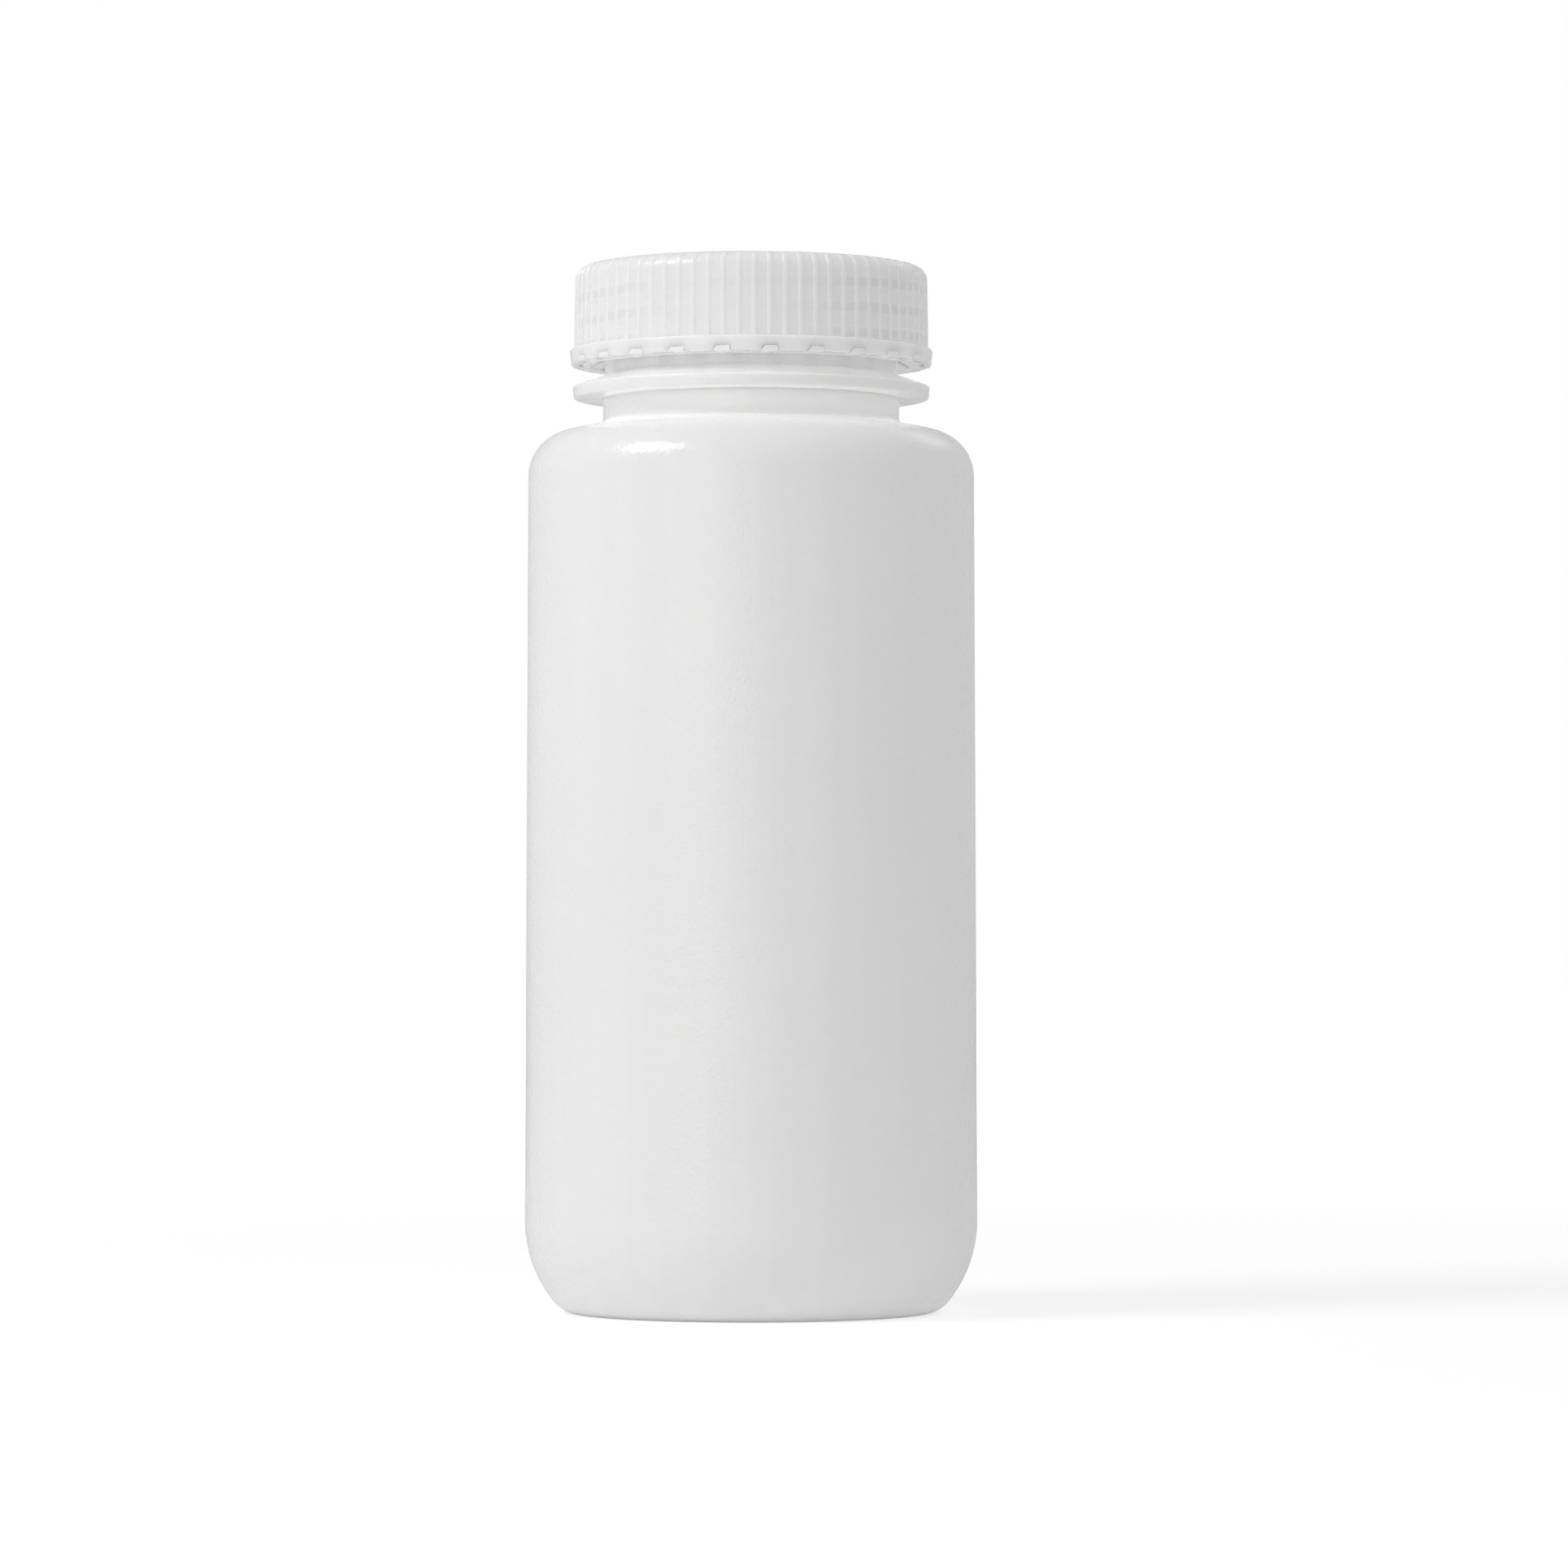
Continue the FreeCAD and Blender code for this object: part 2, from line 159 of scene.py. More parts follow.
def finished(piece, smooth_below=38.0):
    """Leaves edit mode with doubles merged, faces outwards, and edges sharper than the angle kept crisp."""
    bpy.ops.mesh.select_all(action="SELECT")
    bpy.ops.mesh.remove_doubles(threshold=CLOSE)
    bpy.ops.mesh.normals_make_consistent(inside=False)
    bpy.ops.object.mode_set(mode="OBJECT")
    bpy.ops.object.shade_smooth_by_angle(angle=math.radians(smooth_below))
    return piece


def turned(name, outline, segments, closed=False):
    """Solid of revolution."""
    piece = drawn(name, outline, closed)
    bpy.ops.mesh.spin(steps=segments, angle=math.tau, center=CENTRE, axis=AXIS)
    return finished(piece)


def report_on(piece):
    """Prints a piece's faces and its box."""
    corners = [piece.matrix_world @ Vector(corner) for corner in piece.bound_box]
    low = [round(min(c[i] for c in corners) / MM, 2) for i in range(3)]
    high = [round(max(c[i] for c in corners) / MM, 2) for i in range(3)]
    print(piece.name, "faces", len(piece.data.polygons), "from", low, "to", high, "mm")


# %% [markdown]
# ## The bottle
# The real bottle is blown inside a two-part mould, so it is one skin of about 1.2 mm: a recessed base, a long
# soft heel, a wall that leans in slightly, a rounded shoulder, and a neck with a wide support flange. A stack of
# cylinders with bevels could give that, but turning one outline keeps all these curves in a single list. The
# wall inside is drawn too, so that the open mouth is right when the cap comes off. The outline runs from the
# middle of the base up the outside, over the lip and down the inside.

# %% The bottle's outline
LIP_Z = 165.93
LEDGE_Z = 154.78
LAND_Z = 155.78              # the thread stands on the wall above this
LAND_R = 24.6

outside = [
    (0.0, 3.0, 0.0), (21.0, 3.0, 5.0), (25.6, 0.0, 1.5), (30.4, 0.0, 4.9), (36.5, 7.65, 20.8),
    (36.0, 140.95, 7.5), (23.95, 143.34, 1.2), (23.95, 147.43, 0.3), (28.70, 147.43, 0.35),
    (28.86, 149.30, 0.35), (23.6, 151.18, 0.6), (23.6, LEDGE_Z, 0.15), (25.0, LEDGE_Z, 0.15),
    (25.0, LEDGE_Z + 0.5, 0.15), (LAND_R, LAND_Z, 0.3), (LAND_R, LIP_Z, 0.4),
]
inside = [
    (22.0, LIP_Z, 0.4), (22.0, 142.50, 3.0), (34.80, 139.96, 6.3), (35.30, 8.07, 19.6), (29.82, 1.2, 3.7),
    (25.96, 1.2, 0.3), (21.36, 4.2, 6.2), (0.0, 4.2, 0.0),
]
bottle_outline = rounded(outside + inside)
print("the bottle's outline has", len(bottle_outline), "points")

# %% The turned bottle
bottle = turned("bottle_shell", bottle_outline, segments=288)
report_on(bottle)

# %% [markdown]
# The pinched seam is where the mould's two halves closed on the plastic tube. It crosses the recessed base as a
# low bar. A cube drawn out to its size and rounded along its edges is enough, melted into the base.

# %% Modifiers, and melting pieces together
def apply_modifier(piece, kind, **values):
    """Adds a modifier to the piece, sets it and applies it."""
    bpy.ops.object.select_all(action="DESELECT")
    piece.select_set(True)
    bpy.context.view_layer.objects.active = piece
    modifier = piece.modifiers.new(kind.lower(), kind)
    for key, value in values.items():
        setattr(modifier, key, value)
    bpy.ops.object.modifier_apply(modifier=modifier.name)


def merged_with(piece, tool):
    """Melts the tool into the piece. The tool is used up."""
    apply_modifier(piece, "BOOLEAN", operation="UNION", solver="EXACT", object=tool)
    bpy.data.objects.remove(tool)


# %% Pinched seam under the base
SEAM = Vector((34.0, 0.8, 0.95))
SEAM_FOOT_Z = 2.65
SEAM_ROUND = 0.2

bpy.ops.object.select_all(action="DESELECT")
bpy.ops.mesh.primitive_cube_add(size=MM, location=(0.0, 0.0, (SEAM_FOOT_Z + SEAM.z / 2) * MM))
seam = bpy.context.object
bpy.ops.object.mode_set(mode="EDIT")
bpy.ops.mesh.select_all(action="SELECT")
bpy.ops.transform.resize(value=SEAM)
bpy.ops.mesh.bevel(offset=SEAM_ROUND * MM, segments=3, affect="EDGES")
bpy.ops.object.mode_set(mode="OBJECT")
merged_with(bottle, seam)
report_on(bottle)

# %% [markdown]
# ## Threads
# The closure has a coarse right-handed thread with a rise of 4 mm a turn. A thread is a small trapezoid carried
# round the axis while it climbs, which is what the Screw modifier does. The ends of a moulded thread don't stop
# dead, they run out into the wall. So the points near each end are drawn to a line that meets the wall there,
# and then the ridge is melted into the wall.

# %% One thread
PITCH = 4.0
THREAD_ROOT = 1.8            # width of the ridge at the wall
THREAD_CREST = 0.8           # and at its crest
CREST_SIDE = 0.15            # the crest's corners are cut by this much across
CREST_EASE = 0.1             # and by this much up and down
STEPS_A_TURN = 96


def thread(name, root_r, crest_r, start, z, turns, run_out):
    """Ridge from root to crest radius. run_out(radius, angle) gives a point's new radius near an end."""
    half_root, half_crest = THREAD_ROOT / 2, THREAD_CREST / 2
    side = CREST_SIDE if crest_r > root_r else -CREST_SIDE
    profile = [
        (root_r, z - half_root),
        (crest_r - side, z - half_crest - CREST_EASE), (crest_r, z - half_crest + CREST_EASE),
        (crest_r, z + half_crest - CREST_EASE), (crest_r - side, z + half_crest + CREST_EASE),
        (root_r, z + half_root),
    ]
    ridge = drawn(name, profile, closed=True)
    bpy.ops.object.mode_set(mode="OBJECT")
    steps = round(STEPS_A_TURN * turns)
    apply_modifier(
        ridge, "SCREW", angle=math.tau * turns, screw_offset=PITCH * turns * MM, axis="Z",
        steps=steps, render_steps=steps, use_merge_vertices=False,
    )
    bpy.ops.object.mode_set(mode="EDIT")
    mesh = bmesh.from_edit_mesh(ridge.data)
    for edge in mesh.edges:
        edge.select = edge.is_boundary
    mesh.select_flush(True)
    bmesh.update_edit_mesh(ridge.data)
    bpy.ops.mesh.edge_face_add()
    bpy.ops.object.mode_set(mode="OBJECT")

    total = math.tau * turns
    for vertex in ridge.data.vertices:
        x, y, height = vertex.co
        nominal = (height / MM - z) / PITCH * math.tau
        angle = math.atan2(y, x)
        angle += math.tau * round((nominal - angle) / math.tau)
        radius = math.hypot(x, y) / MM
        if abs(radius - root_r) > 0.01:
            radius = run_out(radius, max(min(angle, total - angle), 0.0))
        turned_to = angle + math.radians(start)
        vertex.co = (radius * MM * math.cos(turned_to), radius * MM * math.sin(turned_to), height)
    bpy.ops.object.mode_set(mode="EDIT")
    bpy.ops.mesh.select_all(action="SELECT")
    bpy.ops.mesh.quads_convert_to_tris()
    return finished(ridge)


# %% The bottle's thread
BURIED = 0.03                # the run-out ends this far inside the wall
LONGEST_RUN_OUT = 1.2        # radians, past which the ridge has its full height


def run_out_to_neck(radius, angle):
    """A flat cut across the end of the ridge, level with the neck."""
    return min(radius, (LAND_R - BURIED) / math.cos(min(angle, LONGEST_RUN_OUT)))


neck_thread = thread(
    "neck_thread", root_r=LAND_R - 0.3, crest_r=LAND_R + 1.7, start=-168.0, z=LAND_Z + 1.75, turns=1.8,
    run_out=run_out_to_neck,
)
report_on(neck_thread)
merged_with(bottle, neck_thread)
report_on(bottle)

# %% [markdown]
# ## Pieces that repeat round the axis
# The cap has 72 ribs and 24 notches, and the ring inside it has 24 tabs and 24 dogs. Melting in each on its own
# would take well over a hundred booleans. So one sector is modelled: the outline is spun through a few degrees,
# and then each column of points is slid to its own direction and pulled to its own shape, which raises a rib or
# opens a notch with soft edges. The sector is then copied round the axis and the copies are merged.

# %% One sector, copied round
FRONT = -90.0                # directions are counted from the front, counter-clockwise seen from above


def sector_piece(name, outline, directions, shaped, copies, closed=False):
    """Piece of equal sectors. shaped(index, direction) gives the radius and height of a point of the outline."""
    piece = drawn(name, outline, closed)
    sector = 360.0 / copies
    columns = len(directions) - 1
    bpy.ops.mesh.spin(steps=columns, angle=-math.radians(sector), center=CENTRE, axis=AXIS)
    mesh = bmesh.from_edit_mesh(piece.data)
    index_of = {(round(r, 3), round(z, 3)): i for i, (r, z) in enumerate(outline)}
    for vertex in mesh.verts:
        x, y, z = vertex.co
        r = round(math.hypot(x, y) / MM, 3)
        column = round(math.degrees(math.atan2(y, x)) / sector * columns) if r > 0 else 0
        index = index_of[min(index_of, key=lambda known: abs(known[0] - r) + abs(known[1] - z / MM))]
        direction = directions[column]
        new_r, new_z = shaped(index, direction)
        turned_to = math.radians(direction + FRONT)
        vertex.co = (new_r * MM * math.cos(turned_to), new_r * MM * math.sin(turned_to), new_z * MM)
    bmesh.update_edit_mesh(piece.data)
    bpy.ops.mesh.select_all(action="SELECT")
    bpy.ops.mesh.remove_doubles(threshold=CLOSE)
    bpy.ops.mesh.select_all(action="SELECT")
    bpy.ops.mesh.spin(
        steps=copies - 1, angle=math.radians(360.0 - sector), center=CENTRE, axis=AXIS, dupli=True,
    )
    return finished(piece)


# %% Shapes round the axis
def profile_at(direction, breaks):
    """Value at a direction of a line given by its breaks (direction, value), nought outside them."""
    for (d0, v0), (d1, v1) in zip(breaks, breaks[1:]):
        if d0 <= direction <= d1:
            return v0 + (v1 - v0) * (direction - d0) / (d1 - d0)
    return 0.0


def filled(breaks, start, end, widest):
    """Sorted directions from start to end that include every break, with no step wider than the widest."""
    marks = sorted({round(b, 4) for b in breaks if start < b < end} | {start, end})
    directions = [marks[0]]
    for a, b in zip(marks, marks[1:]):
        steps = math.ceil((b - a) / widest)
        directions += [a + (b - a) * i / steps for i in range(1, steps + 1)]
    return directions


# %% [markdown]
# ## The screw cap
# The cap is moulded in polypropylene. Its flat top rounds over into a skirt with 72 slender ribs, which run over
# the rounded corner and fade into the top. Below them a smooth band stands out, with a row of ramped notches in
# its lower edge. The inside matters as well, because the cap lets light through: a bore with its own thread, and
# the flat step that the tamper ring hangs from.

# %% The cap's outline
CAP_TOP_Z = 168.78
PLATE_Z = 167.38             # underside of the top
STEP_Z = 155.20              # where the bore steps out to make room for the ring
BAND_TOP_Z = 155.30
BAND_Z = 152.85
CAP_BORE_R = 26.8
SKIRT_TOP_R = 28.32
SKIRT_FOOT_R = 28.52
CAP_ROUND = 2.4
RIB_HEIGHT = 0.15

cap_corners = [
    (0.0, CAP_TOP_Z - 0.10, 0.0), (0.8, CAP_TOP_Z - 0.10, 0.12), (0.8, CAP_TOP_Z - 0.35, 0.1),
    (3.0, CAP_TOP_Z - 0.35, 0.15), (3.0, CAP_TOP_Z, 0.12), (SKIRT_TOP_R, CAP_TOP_Z, CAP_ROUND),
    (SKIRT_FOOT_R, BAND_TOP_Z, 0.0), (SKIRT_FOOT_R + RIB_HEIGHT, BAND_TOP_Z, 0.0),
    (29.35, BAND_TOP_Z, 0.3), (29.15, BAND_Z, 0.3), (27.9, BAND_Z, 0.3), (27.9, STEP_Z, 0.2),
    (CAP_BORE_R, STEP_Z, 0.2), (CAP_BORE_R, PLATE_Z, 0.8), (0.0, PLATE_Z, 0.0),
]
cap_outline = rounded(cap_corners)
print("the cap's outline has", len(cap_outline), "points")

# %% Lines of the ribs and notches
RIB_STEP = 5.0               # degrees from rib to rib
RIB_PHASE = 1.0              # direction of one rib's middle
RIB_R = 28.5
NOTCH_STEP = 15.0
NOTCH_PHASE = 6.3
NOTCH_R = 28.9
NOTCH_HEIGHT = 0.8


def line_of(shape, radius):
    """A shape of (distance from its middle in millimetres, share of its height) with degrees for distances."""
    return [(math.degrees(distance / radius), share) for distance, share in shape]


rib_half = [(0.47, 0.0), (0.40, 0.42), (0.34, 0.80), (0.25, 0.98), (0.0, 1.0)]
rib_line = line_of([(-w, h) for w, h in rib_half] + rib_half[-2::-1], RIB_R)
# The notch has a long ramp on its left and an upright side on its right.
notch_line = line_of(
    [(-1.80, 0.0), (-1.70, 0.05), (-1.18, 0.94), (-1.06, 1.0), (1.04, 1.0), (1.11, 0.9), (1.14, 0.1),
     (1.22, 0.0)],
    NOTCH_R,
)

rib_middles = [RIB_PHASE + RIB_STEP * i for i in range(-1, 5)]
sector_start = RIB_PHASE - RIB_STEP / 2
cap_breaks = [m + d for m in rib_middles for d, _ in rib_line] + [NOTCH_PHASE + d for d, _ in notch_line]
cap_directions = filled(cap_breaks, sector_start, sector_start + NOTCH_STEP, widest=1.3)
print("a sector of the cap has", len(cap_directions), "columns")


# %% Raising ribs and opening notches
def rib_share(direction):
    """How far a rib stands up at a direction, from 0 to 1."""
    nearest = RIB_PHASE + RIB_STEP * round((direction - RIB_PHASE) / RIB_STEP)
    return profile_at(direction - nearest, rib_line)


def cap_point(index, direction):
    """A point of the cap's outline at a direction, with the ribs raised and the notch opened."""
    r, z = cap_outline[index]
    on_corner = z > CAP_TOP_Z - CAP_ROUND - 0.1 and r >= SKIRT_TOP_R - CAP_ROUND - 0.001
    if on_corner:
        share = 1 - RIB_HEIGHT / CAP_ROUND
        rib_r = SKIRT_TOP_R + RIB_HEIGHT + (r - SKIRT_TOP_R) * share
        rib_z = CAP_TOP_Z + (z - CAP_TOP_Z) * share
        up = rib_share(direction)
        return r + (rib_r - r) * up, z + (rib_z - z) * up
    if (r, z) == (SKIRT_FOOT_R, BAND_TOP_Z):
        return r + RIB_HEIGHT * rib_share(direction), z
    if z < BAND_Z + NOTCH_HEIGHT / 2:
        return r, z + NOTCH_HEIGHT * profile_at(direction - NOTCH_PHASE, notch_line)
    return r, z


# %% The cap
cap = sector_piece("ribbed_cap", cap_outline, cap_directions, cap_point, copies=24)
report_on(cap)

# %% The cap's thread
def run_out_to_cap(radius, angle):
    """The end of the ridge is cut along a smaller circle that touches the bore there."""
    small = 15.0
    shift = CAP_BORE_R - small
    angle = min(angle, LONGEST_RUN_OUT)
    across = math.sqrt(small ** 2 - (shift * math.sin(angle)) ** 2)
    return max(radius, shift * math.cos(angle) + across + BURIED)


cap_thread = thread(
    "cap_thread", root_r=CAP_BORE_R + 0.3, crest_r=25.35, start=200.0, z=156.22, turns=2.35,
    run_out=run_out_to_cap,
)
report_on(cap_thread)
merged_with(cap, cap_thread)
report_on(cap)

# %% [markdown]
# ## The tamper ring
# A thin ring sits inside the cap's band. It shows as a second, finer edge below it. Broad tabs lean in from it
# under the ledge of the neck, so it can't be pulled off. Small dogs on its outside stand in the cap's notches,
# so it turns with the cap, and slim bridges hold it up until the first opening.

# %% Sizes of the ring
RING_Z = 152.65
RING_R = 27.15
RING_BORE_R = 26.05
TAB_TIP_R = 24.14
TAB_PHASE = 1.6
DOG_R = 29.10
DOG_LIFT = 0.02
DOG_HEIGHT = 0.75
BRIDGE_R = 27.6
BRIDGE_PHASE = 13.8

# %% [markdown]
# Each tab, dog and bridge starts as four points on the plain ring, drawn close together. Where it stands, its
# points are pulled out to its real shape, and between two of them the ring stays plain.

# %% The ring's outline, with the four points of each
tab_root = [(RING_BORE_R, RING_Z + rise) for rise in (0.3, 0.5, 0.7, 0.9)]
bridge_root = [(RING_R, RING_Z + rise) for rise in (1.68, 1.60, 1.50, 1.40)]
dog_root = [(RING_R, RING_Z + rise) for rise in (0.90, 0.70, 0.50, 0.30)]
ring_outline = (
    rounded([(26.6, RING_Z, 0), (RING_BORE_R, RING_Z, 0.15), (RING_BORE_R, RING_Z + 0.3, 0)])[1:-1]
    + tab_root
    + rounded([(RING_BORE_R, RING_Z + 1.2, 0), (RING_BORE_R, RING_Z + 1.9, 0.2), (RING_R, RING_Z + 1.9, 0.2),
               (RING_R, RING_Z + 1.69, 0)])[1:-1]
    + bridge_root + dog_root
    + rounded([(RING_R, RING_Z + 0.3, 0), (RING_R, RING_Z, 0.15), (26.6, RING_Z, 0)])[1:-1]
)
tab_first = ring_outline.index(tab_root[0])
dog_first = ring_outline.index(dog_root[0])
bridge_first = ring_outline.index(bridge_root[0])
print("the ring's outline has", len(ring_outline), "points")

# %% Tabs, dogs and bridges
tab_line = [(-5.5, 0.0), (-5.4, 0.96), (-5.1, 1.0), (5.1, 1.0), (5.4, 0.96), (5.5, 0.0)]
dog_line = line_of([(-1.66, 0.0), (-1.60, 0.05), (-1.12, 0.92), (-1.0, 1.0), (0.97, 1.0), (1.02, 0.0)], 28.0)
bridge_line = line_of([(-0.30, 0.0), (-0.27, 1.0), (0.27, 1.0), (0.30, 0.0)], 27.4)

tab_out = [(RING_BORE_R, RING_Z + 0.2), (TAB_TIP_R, 153.90), (TAB_TIP_R, 154.44), (RING_BORE_R, RING_Z + 1.1)]
bridge_out = [
    (RING_R - 0.2, STEP_Z), (BRIDGE_R, STEP_Z), (BRIDGE_R, RING_Z + 1.65), (RING_R, RING_Z + 1.65),
]


def ring_point(index, direction):
    """A point of the ring's outline at a direction, with the tab, dog or bridge there pulled out."""
    r, z = ring_outline[index]
    if tab_first <= index < tab_first + 4:
        nearest = TAB_PHASE + NOTCH_STEP * round((direction - TAB_PHASE) / NOTCH_STEP)
        out = profile_at(direction - nearest, tab_line)
        end_r, end_z = tab_out[index - tab_first]
    elif dog_first <= index < dog_first + 4:
        nearest = NOTCH_PHASE + NOTCH_STEP * round((direction - NOTCH_PHASE) / NOTCH_STEP)
        high = profile_at(direction - nearest, dog_line)
        out = 1.0 if high > 0 else 0.0
        top = BAND_Z + DOG_LIFT + DOG_HEIGHT * high
        dog_out = [(RING_R, top), (DOG_R, top), (DOG_R, BAND_Z), (RING_R, BAND_Z)]
        end_r, end_z = dog_out[index - dog_first]
    elif bridge_first <= index < bridge_first + 4:
        out = profile_at(direction - BRIDGE_PHASE, bridge_line)
        end_r, end_z = bridge_out[index - bridge_first]
    else:
        return r, z
    return r + (end_r - r) * out, z + (end_z - z) * out


# %% The ring
ring_start = -4.4
ring_breaks = (
    [TAB_PHASE + NOTCH_STEP * i + d for i in range(3) for d, _ in tab_line]
    + [NOTCH_PHASE + NOTCH_STEP * i + d for i in range(-1, 3) for d, _ in dog_line]
    + [BRIDGE_PHASE + d for d, _ in bridge_line]
)
ring_directions = filled(ring_breaks, ring_start, ring_start + 2 * NOTCH_STEP, widest=2.0)
ring = sector_piece("tamper_evident_ring", ring_outline, ring_directions, ring_point, copies=12, closed=True)
report_on(ring)

# %% [markdown]
# ## The seal
# A disc of firm white foam lies under the top of the cap and closes the mouth. It shows only when the cap is off,
# so it stays simple: it is turned like the bottle, with soft edges where the foam is punched from its sheet.

# %% The sealing disc
SEAL_Z = 165.98
SEAL_R = 24.95
SEAL_ROUND = 0.25

seal_outline = [
    (0.0, SEAL_Z, 0.0), (SEAL_R, SEAL_Z, SEAL_ROUND), (SEAL_R, PLATE_Z, SEAL_ROUND), (0.0, PLATE_Z, 0.0),
]
seal = turned("seal_disc", rounded(seal_outline), segments=144)
report_on(seal)

# %% [markdown]
# ## Node groups
# The plastics share three effects, so each is a node group that is built once and placed in every material with
# its own values: the shallow ripple that a mould leaves, the faint upright streaks that the hot plastic gets on
# its way into the mould, and the slow drift in tone of milky plastic.

# %% Helpers for node trees
def new_group(name, inputs, outputs):
    """Node group with named sockets: inputs as (name, type, default), outputs as (name, type)."""
    group = bpy.data.node_groups.new(name, "ShaderNodeTree")
    for label, kind, default in inputs:
        socket = group.interface.new_socket(name=label, in_out="INPUT", socket_type=kind)
        if default is not None:
            socket.default_value = default
    for label, kind in outputs:
        group.interface.new_socket(name=label, in_out="OUTPUT", socket_type=kind)
    return group, group.nodes.new("NodeGroupInput"), group.nodes.new("NodeGroupOutput")


def join(tree, source, target):
    """Links a socket to an input, or sets the input to a number or vector."""
    if isinstance(source, bpy.types.NodeSocket):
        tree.links.new(source, target)
    else:
        target.default_value = source


def maths(tree, operation, *values):
    """Result of a Math node whose inputs are sockets or numbers."""
    node = tree.nodes.new("ShaderNodeMath")
    node.operation = operation
    for value, target in zip(values, node.inputs):
        join(tree, value, target)
    return node.outputs[0]


def noise(tree, vector, scale, detail=2.0):
    """Value of a Noise texture read at a vector."""
    node = tree.nodes.new("ShaderNodeTexNoise")
    join(tree, vector, node.inputs["Vector"])
    join(tree, scale, node.inputs["Scale"])
    node.inputs["Detail"].default_value = detail
    return node.outputs["Fac"]


def ramp(tree, value, low, high, to_low=0.0, to_high=1.0):
    """A value carried smoothly from one range to another."""
    node = tree.nodes.new("ShaderNodeMapRange")
    node.interpolation_type = "SMOOTHSTEP"
    join(tree, value, node.inputs["Value"])
    for label, number in (("From Min", low), ("From Max", high), ("To Min", to_low), ("To Max", to_high)):
        join(tree, number, node.inputs[label])
    return node.outputs["Result"]


# %% Ripple left by the mould
def make_ripple():
    group, given, result = new_group(
        "mould_ripple",
        [("Vector", "NodeSocketVector", None), ("Fine Scale", "NodeSocketFloat", 900.0),
         ("Broad Scale", "NodeSocketFloat", 60.0), ("Broad Share", "NodeSocketFloat", 0.5)],
        [("Height", "NodeSocketFloat")],
    )
    place = given.outputs["Vector"]
    fine = noise(group, place, given.outputs["Fine Scale"], detail=2.0)
    broad = noise(group, place, given.outputs["Broad Scale"], detail=1.0)
    share = given.outputs["Broad Share"]
    rest = maths(group, "SUBTRACT", 1.0, share)
    height = maths(group, "ADD", maths(group, "MULTIPLY", fine, rest), maths(group, "MULTIPLY", broad, share))
    group.links.new(height, result.inputs["Height"])
    return group


mould_ripple = make_ripple()
print("group", mould_ripple.name, "has", len(mould_ripple.nodes), "nodes")


# %% Upright streaks
def make_streaks():
    group, given, result = new_group(
        "upright_streaks",
        [("Vector", "NodeSocketVector", None), ("Scale", "NodeSocketFloat", 300.0)],
        [("Streak", "NodeSocketFloat")],
    )
    drawn_out = group.nodes.new("ShaderNodeVectorMath")
    drawn_out.operation = "MULTIPLY"
    drawn_out.inputs[1].default_value = (1.0, 1.0, 0.02)
    group.links.new(given.outputs["Vector"], drawn_out.inputs[0])
    streak = noise(group, drawn_out.outputs[0], given.outputs["Scale"], detail=1.0)
    group.links.new(ramp(group, streak, 0.35, 0.65), result.inputs["Streak"])
    return group


upright_streaks = make_streaks()
print("group", upright_streaks.name, "has", len(upright_streaks.nodes), "nodes")


# %% Drift in tone
def make_drift():
    group, given, result = new_group(
        "milky_drift",
        [("Vector", "NodeSocketVector", None), ("Light", "NodeSocketColor", None),
         ("Dark", "NodeSocketColor", None), ("Scale", "NodeSocketFloat", 25.0),
         ("Streak", "NodeSocketFloat", 0.0)],
        [("Color", "NodeSocketColor")],
    )
    cloud = noise(group, given.outputs["Vector"], given.outputs["Scale"], detail=2.0)
    both = maths(group, "ADD", cloud, maths(group, "MULTIPLY", given.outputs["Streak"], 0.25))
    mixed = group.nodes.new("ShaderNodeMix")
    mixed.data_type = "RGBA"
    group.links.new(ramp(group, both, 0.3, 0.8), mixed.inputs["Factor"])
    group.links.new(given.outputs["Light"], mixed.inputs["A"])
    group.links.new(given.outputs["Dark"], mixed.inputs["B"])
    group.links.new(mixed.outputs["Result"], result.inputs["Color"])
    return group


milky_drift = make_drift()
print("group", milky_drift.name, "has", len(milky_drift.nodes), "nodes")

# %% [markdown]
# ## Plastics
# Natural plastic scatters light inside its wall instead of at its surface, so plain diffuse white looks like
# paint. Subsurface scattering over half a millimetre to two gives the soft waxy tone and softens the shadows.
# Transmission could carry light right through the wall, but it makes the bottle darker. The
# gloss is fairly sharp, and the ripple softens the ends of every highlight.

# %% A node group in a material
def place_group(tree, group, **values):
    """A node group in a material, with its inputs linked or set by name."""
    node = tree.nodes.new("ShaderNodeGroup")
    node.node_tree = group
    for label, value in values.items():
        join(tree, value, node.inputs[label.replace("_", " ")])
    return node


# %% A milky plastic
STREAK_SCALE = 260.0
DRIFT_SCALE = 25.0
GLOSS_SCALE = 200.0
GLOSS_SPREAD = 0.03          # roughness varies this much either way


